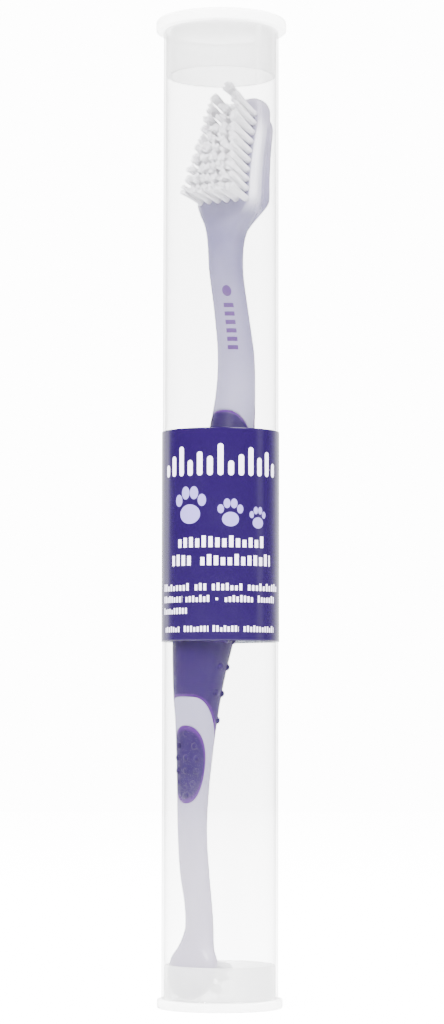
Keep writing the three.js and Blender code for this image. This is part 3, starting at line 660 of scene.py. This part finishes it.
ring_share = np.sin(np.linspace(0, np.pi / 2, PAD_RINGS + 1))[1:, None]
around = whole_turn(PAD_COLUMNS)[None, :]
pad_height = PAD_CENTRE + PAD_LENGTH / 2 * ring_share * np.sin(around)
pad_turn = math.radians(PAD_HALF_ANGLE) * ring_share * np.cos(around)
rim_way = (1 - ring_share) * PAD_HALF_WIDTH + 0 * around
pad_rim = -PAD_RIM_SINK * (1 - quarter_round(rim_way, PAD_RIM_REACH))
pad_outer = on_section(brush_section(pad_height), pad_turn, pad_height, pad_rim)
pad_inner = on_section(brush_section(pad_height), pad_turn, pad_height, -PAD_THICKNESS)
middle = np.float64(PAD_CENTRE)
crown = on_section(brush_section(middle), 0.0, middle)
back = on_section(brush_section(middle), 0.0, middle, -PAD_THICKNESS)
pad_stack = np.concatenate([pad_outer, pad_inner[::-1]])
last_ring = (2 * PAD_RINGS - 1) * PAD_COLUMNS
count = 2 * PAD_RINGS * PAD_COLUMNS
pad_points = [np.concatenate([pad_stack.reshape(-1, 3), [crown, back]])]
pad_faces = [
    grid_faces(2 * PAD_RINGS, PAD_COLUMNS)[:, ::-1],
    fan_faces(np.arange(PAD_COLUMNS), count),
    fan_faces(np.arange(PAD_COLUMNS) + last_ring, count + 1, flip=True),
]
pad_edge = [np.concatenate([rim_way.ravel(), rim_way[::-1].ravel(), [PAD_HALF_WIDTH, PAD_HALF_WIDTH]])]

for bump_angle, bump_share in PAD_BUMPS:
    for side in (-1, 1) if bump_angle else (1,):
        for way in (-1, 1):
            add_dome(
                pad_points,
                pad_faces,
                pad_edge,
                math.radians(side * bump_angle),
                PAD_CENTRE + way * bump_share * PAD_LENGTH / 2,
                PAD_BUMP_RADIUS,
                PAD_BUMP_PROUD,
            )

pad = mesh_piece("thumb_rubber", stood_in_case(np.concatenate(pad_points)), *pad_faces)
put_value(pad, "edge", np.concatenate(pad_edge))
pad.data.materials.append(rubber)
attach(pad, "toothbrush")
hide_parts("thumb_pad")

# ---------------------------------------------------------------- tufts
# Each tuft is a bundle of white nylon filaments, folded once and stapled into its own hole in the head, then
# cut to length and rounded at the tips. A tuft's filaments spread a little and bend by different amounts.

TUFT_RADIUS = 0.74
CLUMPS = 5
TUFT_SPREAD = 0.5
TUFT_GAIN = 0.17
FILAMENTS = 84
FILAMENT_RADIUS = 0.07
FILAMENT_SIDES = 5
FILAMENT_STEPS = 6
ROOT_DEPTH = 0.5
CLUMP_WANDER = 0.17
FILAMENT_WANDER = 0.05
SHORTEST_CLUMP = 0.86
SHORTEST_FILAMENT = 0.97

nylon, shader, wire = finish(
    "white_nylon_bristle",
    Roughness=0.3,
    IOR=1.53,
    Subsurface_Weight=0.3,
    Subsurface_Radius=(1.0, 1.0, 1.0),
    Subsurface_Scale=0.0003,
)
place = wire.node("ShaderNodeTexCoord", None, 3)
shade = wire.noise(place, 1500, 2)
hang = wire.node("ShaderNodeAttribute", {"attribute_name": "hang"}, 2)
# Painted shade: the filaments turn from white near their tips to a lavender grey towards their roots,
# standing in for the shade that falls between the tufts.
ROOT_PAINTED_SHADE = (0.84, 0.82, 0.9, 1)
BRISTLE_WHITE = (0.98, 0.97, 1.0, 1)
tone = hang.soft_step(0.0, 0.55) * 0.85 + shade * 0.3 - 0.08
tone = wire.node("ShaderNodeClamp", None, 0, Value=tone)
wire_in(wire.blend(ROOT_PAINTED_SHADE, BRISTLE_WHITE, tone), shader, "Base Color")
wire_in(shade * 0.2 + 0.25, shader, "Roughness")

dice = np.random.default_rng(7)


def bundle(place, direction, length):
    """One tuft's filaments: each starts at a point of a sunflower spiral in the hole, runs along the tuft's
    direction, spreads in proportion to the square of the way up and ends in a narrower tip. The filaments of
    one sector lie together as a clump, which bends its own way and has its own reach. Every filament is a
    tube with rings at even steps."""
    index = np.arange(FILAMENTS)
    radius = TUFT_RADIUS * 0.93 * np.sqrt((index + 0.5) / FILAMENTS)
    spiral = index * math.radians(137.5) + dice.uniform(0, 6.28)
    aside = np.cross(direction, [0.0, 1.0, 0.0] if abs(direction[1]) < 0.6 else [1.0, 0.0, 0.0])
    aside /= np.linalg.norm(aside)
    upward = np.cross(direction, aside)
    out = np.cos(spiral)[:, None] * aside + np.sin(spiral)[:, None] * upward
    along = np.linspace(0, 1, FILAMENT_STEPS)
    rings = np.concatenate([along * 0.985, [1.0]])
    widths = np.concatenate([np.ones(FILAMENT_STEPS), [0.45]])
    clump = ((spiral / (2 * np.pi)) % 1 * CLUMPS).astype(int)
    wander = dice.normal(0, CLUMP_WANDER, (CLUMPS, 2))[clump]
    wander = wander + dice.normal(0, FILAMENT_WANDER, (FILAMENTS, 2))
    reach = length * dice.uniform(SHORTEST_CLUMP, 1.0, CLUMPS)[clump]
    reach = reach * dice.uniform(SHORTEST_FILAMENT, 1.0, FILAMENTS)
    drift = wander[:, :1] * aside + wander[:, 1:] * upward
    fan = TUFT_SPREAD * radius[:, None] / TUFT_RADIUS * out
    line = (
        place
        + (radius[:, None] * out)[:, None, :]
        + (rings[None, :, None] * (reach[:, None] + ROOT_DEPTH)[:, :, None] - ROOT_DEPTH) * direction
        + (rings**2)[None, :, None] * (fan + drift)[:, None, :]
    )
    corner = whole_turn(FILAMENT_SIDES)
    ring = np.cos(corner)[:, None] * aside + np.sin(corner)[:, None] * upward
    tube = line[:, :, None, :] + FILAMENT_RADIUS * widths[None, :, None, None] * ring[None, None, :, :]
    return tube, np.broadcast_to(rings[None, :, None], tube.shape[:3])


def tube_faces(filaments, rings, sides_round):
    """The faces of all the filaments at once: one filament's quads and its two end caps, repeated."""
    wall = grid_faces(rings, sides_round)[:, ::-1]
    starts = (np.arange(filaments) * rings * sides_round)[:, None, None]
    tip = (np.arange(sides_round) + (rings - 1) * sides_round)[::-1][None, :]
    root = np.arange(sides_round)[None, :]
    return [(faces[None] + starts).reshape(-1, faces.shape[1]) for faces in (wall, tip, root)]


LARGE_ROWS = (6, 6, 5, 5, 5, 4, 4, 3, 3, 2, 1)
SMALL_ROWS = (4, 3, 2)
# Name, tufts in each row, first row's height, pitch, side of the head, way to its tip, length and its gain.
HEADS = (
    ("tuft_large", LARGE_ROWS, HEAD_BASE, 2.25, 1, 1, 7.0, TUFT_GAIN),
    ("tuft_small", SMALL_ROWS, 8.3, 2.4, -1, -1, 5.2, 0.0),
)
TUFT_LEAN = math.radians(3.5)
TUFT_WALL = 0.9
SLOPE_REACH = 1.5


def face_forward(height, side):
    """How far forward a head's face is at a height: the section's middle plus or less its half depth."""
    forward, _, half_depth, _ = brush_section(np.float64(height))
    return forward + side * half_depth


for head, tuft_rows, first, pitch, side, tipward, length, gain in HEADS:
    for row, in_row in enumerate(tuft_rows):
        tuft_height = first + tipward * pitch * row
        ahead = face_forward(tuft_height + SLOPE_REACH, side) - face_forward(tuft_height - SLOPE_REACH, side)
        slope = ahead / (2 * SLOPE_REACH)
        half_width = brush_section(np.float64(tuft_height + tipward * pitch / 2))[1]
        half_spread = half_width - TUFT_WALL - TUFT_RADIUS
        tilt = math.atan(-slope) * side + tipward * TUFT_LEAN
        direction = np.array([0, -side * math.cos(tilt), math.sin(tilt)])
        for column in range(in_row):
            across = 0.0 if in_row == 1 else half_spread * (2 * column / (in_row - 1) - 1)
            root = np.array([across, -face_forward(tuft_height, side), tuft_height])
            tubes, hang_share = bundle(root, direction, length + gain * row)
            name = f"{head}_{row + 1}_{column + 1}"
            tuft = mesh_piece(
                "bristles_" + name[5:],
                stood_in_case(tubes.reshape(-1, 3)),
                *tube_faces(FILAMENTS, FILAMENT_STEPS + 1, FILAMENT_SIDES),
            )
            put_value(tuft, "hang", hang_share.ravel())
            tuft.data.materials.append(nylon)
            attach(tuft, "toothbrush")
            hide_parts(name)

# ---------------------------------------------------------------- case tube
# A length of clear extruded plastic tube, cut square at both ends. Its wall is half a millimetre, and faint
# lines from the extrusion die run up it.

TUBE_SIDES = 192
tube_low, tube_high = (np.array(corner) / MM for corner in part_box("case_tube"))
TUBE_RADIUS = (tube_high[0] - tube_low[0]) / 2
TUBE_WALL = 0.5
TUBE_CHAMFER = 0.06
TUBE_LEVELS = 12


def turned_piece(name, profile, columns, closed=True):
    """A profile of [radius, height] points carried round the Z axis. Where it isn't a closed loop its two
    ends lie on the axis, and each is one point."""
    profile = np.asarray(profile, float)
    around = whole_turn(columns)[None, :]
    ring_part = profile if closed else profile[1:-1]
    radius, height = ring_part[:, :1], ring_part[:, 1:]
    ring = np.stack([radius * np.sin(around), -radius * np.cos(around), height + 0 * around], axis=-1)
    rows = len(ring_part)
    if closed:
        return mesh_piece(name, ring.reshape(-1, 3), grid_faces(rows, columns, round_rows=True))
    ends = np.array([[0, 0, profile[0, 1]], [0, 0, profile[-1, 1]]])
    return mesh_piece(name, np.concatenate([ring.reshape(-1, 3), ends]), *capped_faces(rows, columns))


def ring_profile(inner_radius, outer_radius, low, high, edge, levels):
    """A ring's section, going up its outside and down its inside, with small chamfers at its rims. A level
    close to each chamfer keeps the smooth shading of the wall straight."""
    beside = edge + 0.3
    going_up = [low + edge, *np.linspace(low + beside, high - beside, levels - 2), high - edge]
    outside = [[outer_radius, h] for h in going_up]
    inside = [[inner_radius, h] for h in going_up[::-1]]
    top = [[outer_radius - edge, high], [inner_radius + edge, high]]
    foot = [[inner_radius + edge, low], [outer_radius - edge, low]]
    return outside + top + inside + foot


tube = turned_piece(
    "clear_tube",
    ring_profile(TUBE_RADIUS - TUBE_WALL, TUBE_RADIUS, tube_low[2], tube_high[2], TUBE_CHAMFER, TUBE_LEVELS),
    TUBE_SIDES,
)

clear, shader, wire = finish(
    "clear_tube_plastic",
    Base_Color=(0.9, 0.9, 0.91, 1),
    Metallic=1.0,
    Roughness=0.07,
)
place = wire.node("ShaderNodeTexCoord", None, 3)
x = wire.node("ShaderNodeSeparateXYZ", None, 0, Vector=place)
y = wire.node("ShaderNodeSeparateXYZ", None, 1, Vector=place)
bearing = wire.maths("ARCTAN2", x, y)
lines = wire.node("ShaderNodeTexNoise", {"noise_dimensions": "1D"}, 0, W=bearing, Scale=60.0, Detail=3.0)
# The film is clear where the eye meets it squarely, and mirrors more as it turns away.
slant = wire.node("ShaderNodeLayerWeight", None, 1, Blend=0.5)
haze = wire.maths("POWER", slant, 5.0) * 0.92 + 0.035 + lines * 0.02


def see_through(body_share, tint=(1, 1, 1, 1)):
    """Mixes the material's shader, by its share, with a Transparent one that lets the other light by."""
    body = Wire(wire.tree, shader.outputs[0])
    clear_share = wire.node("ShaderNodeBsdfTransparent", None, 0, Color=tint)
    mixed = wire.node("ShaderNodeMixShader", None, 0, _0=body_share, _1=clear_share, _2=body)
    wire.tree.links.new(mixed.socket, wire.tree.nodes["Material Output"].inputs["Surface"])


see_through(haze, (0.885, 0.885, 0.885, 1))
wire_in(wire.bumped(lines, 0.00002, 0.4), shader, "Normal")
tube.data.materials.append(clear)
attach(tube, "case")
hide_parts("case_tube")

# ---------------------------------------------------------------- end plugs
# Two flanged cups of soft frosted polyethylene, pushed into the tube's ends. Each has a flat outer face, a
# rounded flange that stops on the tube's rim and a thin skirt inside the tube.

PLUG_WALL = 0.85
PLUG_FLOOR = 1.7
PLUG_SLIP = 0.05
PLUG_SIDES = 144
SKIRT_RADIUS = TUBE_RADIUS - TUBE_WALL - PLUG_SLIP
LIP_ROUND = 0.25
SKIRT_ROUND = 0.3
FLOOR_ROUND = 0.7


def round_corner(centre, radius, start, end, steps=8):
    """Points of an arc about a centre from one angle to another, in degrees."""
    angle = np.radians(np.linspace(start, end, steps))
    return [[centre[0] + radius * math.cos(a), centre[1] + radius * math.sin(a)] for a in angle]


def plug_profile(flange_radius, flange_thickness, depth, edge):
    """A cup's section, from the axis over its flat face, round the flange, up its skirt and back inside."""
    top = flange_thickness + depth
    inside = SKIRT_RADIUS - PLUG_WALL
    return [
        [0, 0],
        [flange_radius - edge - 1.2, 0],
        *round_corner([flange_radius - edge, edge], edge, -90, 0),
        *round_corner([flange_radius - LIP_ROUND, flange_thickness - LIP_ROUND], LIP_ROUND, 0, 90, 4),
        [SKIRT_RADIUS + 0.15, flange_thickness],
        [SKIRT_RADIUS, flange_thickness + 0.12],
        [SKIRT_RADIUS, flange_thickness + 0.4],
        [SKIRT_RADIUS, top - 1.2],
        [SKIRT_RADIUS, top - 0.9],
        *round_corner([SKIRT_RADIUS - 0.35, top - SKIRT_ROUND], SKIRT_ROUND, 0, 90, 5),
        [inside + 0.1, top],
        [inside, top - 0.12],
        [inside, top - 0.4],
        [inside, PLUG_FLOOR + 1.0],
        *round_corner([inside - FLOOR_ROUND, PLUG_FLOOR + FLOOR_ROUND], FLOOR_ROUND, 0, -90, 6),
        [0, PLUG_FLOOR],
    ]


frosted, shader, wire = finish(
    "frosted_soft_plastic",
    Roughness=0.45,
    IOR=1.51,
    Subsurface_Weight=0.5,
    Subsurface_Radius=(1.0, 1.0, 1.0),
    Subsurface_Scale=0.002,
)
place = wire.node("ShaderNodeTexCoord", None, 3)
frost = wire.noise(place, 300, 4, 0.6)
wire_in(wire.blend((0.95, 0.95, 0.955, 1), (0.99, 0.99, 0.985, 1), frost), shader, "Base Color")
wire_in(frost * 0.2 + 0.36, shader, "Roughness")
wire_in(wire.bumped(frost, 0.00005, 0.5), shader, "Normal")
body_share = frost * 0.06 + 0.36 + wire.node("ShaderNodeLayerWeight", None, 1, Blend=0.3) * 0.3
see_through(body_share)

# Node, thickness of its flange, radius of the flange's outer edge, and whether it is pushed in upside down.
PLUGS = (
    ("bottom_plug", 2.0, 0.45, False),
    ("top_plug", 2.6, 0.9, True),
)
for node, flange_thickness, edge, upside_down in PLUGS:
    low, high = (np.array(corner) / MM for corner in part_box(node))
    depth = high[2] - low[2] - flange_thickness
    profile = np.array(plug_profile((high[0] - low[0]) / 2, flange_thickness, depth, edge))
    if upside_down:
        profile = np.stack([profile[:, 0], high[2] - profile[:, 1]], axis=-1)[::-1]
    plug = turned_piece("frosted_" + node, profile, PLUG_SIDES, closed=False)
    plug.data.materials.append(frosted)
    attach(plug, node)
    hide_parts(node)

# ---------------------------------------------------------------- label
# A glossy plastic film, printed deep violet, wrapped once round the tube. Its pale back shows through the
# clear tube from inside. The print is plain marks: rows of upright strokes, and three paw marks.

label_low, label_high = (np.array(corner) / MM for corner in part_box("case_label"))
LABEL_RADIUS = (label_high[0] - label_low[0]) / 2
LABEL_FOOT = label_low[2]
LABEL_TOP = label_high[2]
FILM_THICKNESS = 0.15
FILM_CHAMFER = 0.03
LABEL_LEVELS = 6

label_profile = ring_profile(
    LABEL_RADIUS - FILM_THICKNESS, LABEL_RADIUS, LABEL_FOOT, LABEL_TOP, FILM_CHAMFER, LABEL_LEVELS
)
label = turned_piece("printed_label", label_profile, TUBE_SIDES)
label_rows = len(label_profile)
bearing = np.broadcast_to(whole_turn(TUBE_SIDES)[None, :], (label_rows, TUBE_SIDES))
bearing = (bearing + np.pi) % (2 * np.pi) - np.pi
label_height = np.broadcast_to(np.array(label_profile)[:, 1:], (label_rows, TUBE_SIDES))
put_uv(label, bearing.ravel() * LABEL_RADIUS / UV_SPAN, (label_height.ravel() - LABEL_FOOT) / UV_SPAN)
# The faces between the levels of the inside, which come after those of the outside and the top, are the back.
face_row = grid_faces(label_rows, TUBE_SIDES, round_rows=True)[:, 0] // TUBE_SIDES
first_inside = LABEL_LEVELS + 2
is_back = (face_row >= first_inside) & (face_row < first_inside + LABEL_LEVELS - 1)
label.data.polygons.foreach_set("material_index", is_back.astype(np.int32))

INK = (0.0048, 0.0004, 0.023, 1)
INK_PALE = (0.16, 0.135, 0.33, 1)
INK_WHITE = (0.6, 0.57, 0.7, 1)

ink, shader, wire = finish("violet_printed_film", Roughness=0.22, IOR=1.5, Specular_IOR_Level=0.2)
place = wire.node("ShaderNodeTexCoord", None, 3)
uv = wire.node("ShaderNodeUVMap", {"uv_map": "UVMap"})
u = wire.node("ShaderNodeSeparateXYZ", None, 0, Vector=uv) * UV_SPAN
v = wire.node("ShaderNodeSeparateXYZ", None, 1, Vector=uv) * UV_SPAN
SOFT = 0.05  # half the width of a printed edge's blur


def disc(centre_u, centre_v, radius_u, radius_v):
    """An oval: 1 where the distance, scaled to the oval's two radii, is under 1."""
    across, up = (u - centre_u) / radius_u, (v - centre_v) / radius_v
    away = wire.maths("SQRT", across * across + up * up)
    return 1 - away.soft_step(1 - SOFT / radius_u, 1 + SOFT / radius_u)


def either(marks):
    """1 where any of the marks is."""
    whole = marks[0]
    for mark in marks[1:]:
        whole = wire.maths("MAXIMUM", whole, mark)
    return whole


# Rows of small strokes in millimetres, from the middle of the front and up from the label's lower edge: left,
# right, foot, height and pitch.
ROWS = (
    (-10.4, 10.6, 20.1, 2.5, 1.5),
    (-12.4, -6.4, 16.2, 2.5, 1.5),
    (-4.7, 12.6, 16.2, 2.5, 1.5),
    (-16.0, -6.9, 10.8, 1.6, 1.0),
    (-5.9, -2.9, 10.8, 1.6, 1.0),
    (-2.0, 5.0, 10.8, 1.6, 1.0),
    (6.0, 16.0, 10.8, 1.6, 1.0),
    (-16.0, -9.0, 8.3, 1.5, 0.85),
    (-8.2, -2.2, 8.3, 1.5, 0.85),
    (-1.2, -0.3, 8.7, 0.5, 0.85),
    (0.8, 7.6, 8.3, 1.5, 0.85),
    (8.6, 14.6, 8.3, 1.5, 0.85),
    (-16.0, -7.6, 5.8, 1.5, 0.85),
    (-15.2, -9.6, 1.9, 1.4, 0.8),
    (-8.6, -2.6, 1.9, 1.4, 0.8),
    (-1.8, 4.0, 1.9, 1.4, 0.8),
    (5.0, 14.2, 1.9, 1.4, 0.8),
)
# The wide band at the top: upright strokes of different heights, each from its foot, in millimetres.
STROKES = (2.6, 4.4, 6.4, 3.4, 5.2, 4.2, 6.9, 3.2, 4.6, 6.2, 4.0, 5.4, 3.0)
STROKE_PITCH = 2.3
STROKE_WIDTH = 1.25
STROKE_FOOT = 35.6
# Each paw's middle, and its size as a share of the largest.
PAWS = ((-7.0, 28.2, 1.0), (2.2, 26.8, 0.74), (8.8, 26.0, 0.58))
TOES = ((-2.9, 2.1, 0.95, 1.3), (-1.05, 3.7, 1.0, 1.4), (1.05, 3.7, 1.0, 1.4), (2.9, 2.1, 0.95, 1.3))


def stroke_row(left, right, foot, tall, pitch):
    """A row of upright strokes, each 0.6 of the pitch wide and from 0.6 to the whole of the height tall."""
    step = (u - left) / pitch
    index = wire.maths("FLOOR", step)
    chance = wire.node("ShaderNodeTexWhiteNoise", {"noise_dimensions": "1D"}, 0, W=index + (foot * 3 + left))
    in_stroke = 1 - ((step - index - 0.5).size() * pitch).soft_step(0.3 * pitch - SOFT, 0.3 * pitch + SOFT)
    above = v - foot
    high = chance * (0.4 * tall) + 0.6 * tall
    in_height = above.soft_step(-SOFT, SOFT) * (1 - (above - high).soft_step(-SOFT, SOFT))
    return in_stroke * in_height * u.between(left, right, SOFT)


def stroke(centre, low, high):
    """An upright bar with round ends."""
    half = STROKE_WIDTH / 2
    past_end = wire.maths("MAXIMUM", (v - (low + high) / 2).size() - ((high - low) / 2 - half), 0.0)
    away = wire.maths("SQRT", past_end * past_end + (u - centre) * (u - centre))
    return 1 - away.soft_step(half - SOFT, half + SOFT)


middle_stroke = (len(STROKES) - 1) / 2
words = either(
    [stroke_row(*each) for each in ROWS]
    + [
        stroke((i - middle_stroke) * STROKE_PITCH, STROKE_FOOT, STROKE_FOOT + tall)
        for i, tall in enumerate(STROKES)
    ]
)
paws = either(
    [disc(at, level - 0.9 * scale, 2.5 * scale, 2.1 * scale) for at, level, scale in PAWS]
    + [
        disc(at + toe[0] * scale, level + toe[1] * scale, toe[2] * scale, toe[3] * scale)
        for at, level, scale in PAWS
        for toe in TOES
    ]
)
speckle = wire.noise(place, 4200, 2)
worn = wire.noise(place, 120, 3)
colour = wire.blend(INK, INK_PALE, paws * 0.95)
colour = wire.blend(colour, INK_WHITE, words * 0.96)
colour = wire.blend(colour, (0.06, 0.05, 0.16, 1), speckle * 0.03)
wire_in(colour, shader, "Base Color")
wire_in(worn * 0.12 + 0.16, shader, "Roughness")
wire_in(wire.bumped(worn, 0.00006, 0.4), shader, "Normal")

film_back, shader, wire = finish("pale_film_back", Roughness=0.4)
place = wire.node("ShaderNodeTexCoord", None, 3)
wash = wire.noise(place, 200, 3)
wire_in(wire.blend((0.68, 0.74, 0.92, 1), (0.8, 0.84, 0.96, 1), wash), shader, "Base Color")

label.data.materials.append(ink)
label.data.materials.append(film_back)
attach(label, "case")
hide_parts("case_label")

# ---------------------------------------------------------------- studio
# A white paper floor and white air all round, both brighter to the eye than the light they give, so that the
# object stands on plain white. Gloss mirrors bright air only behind the object, and soft boxes light it from
# each side. Lengths are in metres.

FLOOR_RADIUS = 1.5
FLOOR_SIDES = 96
PAPER_WHITE = 0.94  # how much light it returns
AIR_LIGHT = 4.0
AIR_SHOWN = 14.0
AIR_MIRRORED = 3.2
AIR_MIRRORED_AHEAD = 0.2

floor_turn = whole_turn(FLOOR_SIDES)
floor_ring = FLOOR_RADIUS * np.stack([np.sin(floor_turn), -np.cos(floor_turn), 0 * floor_turn], axis=-1)
floor = mesh_piece("studio_floor", floor_ring / MM, np.arange(FLOOR_SIDES)[None, :])
paper, shader, wire = finish("white_paper", Base_Color=(*[PAPER_WHITE] * 3, 1), Roughness=0.9)
seen = wire.node("ShaderNodeLightPath", None, 0)
shader.inputs["Emission Color"].default_value = (1, 1, 1, 1)
wire_in(seen * (AIR_SHOWN - AIR_LIGHT * PAPER_WHITE), shader, "Emission Strength")
floor.data.materials.append(paper)

world = bpy.data.worlds.new("studio_air")
world.use_nodes = True
air = Wire(world.node_tree)
seen = air.node("ShaderNodeLightPath", None, 0)
mirrored = air.node("ShaderNodeLightPath", None, 3)
toward = air.node("ShaderNodeSeparateXYZ", None, 1, Vector=air.node("ShaderNodeTexCoord", None, 0))
behind = toward.soft_step(0.2, 1.0) * AIR_MIRRORED + AIR_MIRRORED_AHEAD
level = seen * AIR_SHOWN + (1 - seen) * (mirrored * behind + (1 - mirrored) * AIR_LIGHT)
world.node_tree.links.new(level.socket, world.node_tree.nodes["Background"].inputs["Strength"])
world.node_tree.nodes["Background"].inputs["Color"].default_value = (1, 1, 1, 1)
bpy.context.scene.world = world


def softbox(name, place, aim, width, height, power):
    """A rectangular area light at a place, turned to face a point."""
    data = bpy.data.lights.new(name, "AREA")
    data.shape, data.size, data.size_y, data.energy = "RECTANGLE", width, height, power
    box = bpy.data.objects.new(name, data)
    box.location = place
    box.rotation_mode = "QUATERNION"
    toward = Vector(aim) - Vector(place)
    box.rotation_quaternion = toward.to_track_quat("-Z", "Y")
    bpy.context.scene.collection.objects.link(box)
    return box


softbox("left_key", (-0.62, -0.72, 1.15), (0, 0, 0.11), 0.7, 0.7, 86)
softbox("right_key", (0.62, -0.68, 1.1), (0, 0, 0.11), 0.7, 0.7, 60)
softbox("right_strip", (0.8, -0.1, 0.12), (0, 0, 0.12), 0.2, 0.9, 1.6)
softbox("left_strip", (-0.7, 0.5, 0.12), (0, 0, 0.12), 0.2, 0.9, 1.5)

CAMERA_SIDE = 0.0004
CAMERA_DISTANCE = 0.690
CAMERA_HEIGHT = 0.062
CAMERA_ROLL = math.radians(-0.09)
AIM_HEIGHT = 0.1079
lens = bpy.data.cameras.new("camera")
lens.sensor_width = 36
lens.lens = 110.8
camera = bpy.data.objects.new("camera", lens)
camera.location = (CAMERA_SIDE, -CAMERA_DISTANCE, CAMERA_HEIGHT)
look_up = math.atan2(AIM_HEIGHT - CAMERA_HEIGHT, CAMERA_DISTANCE)
camera.rotation_euler = (math.pi / 2 + look_up, CAMERA_ROLL, 0)
bpy.context.scene.collection.objects.link(camera)
bpy.context.scene.camera = camera
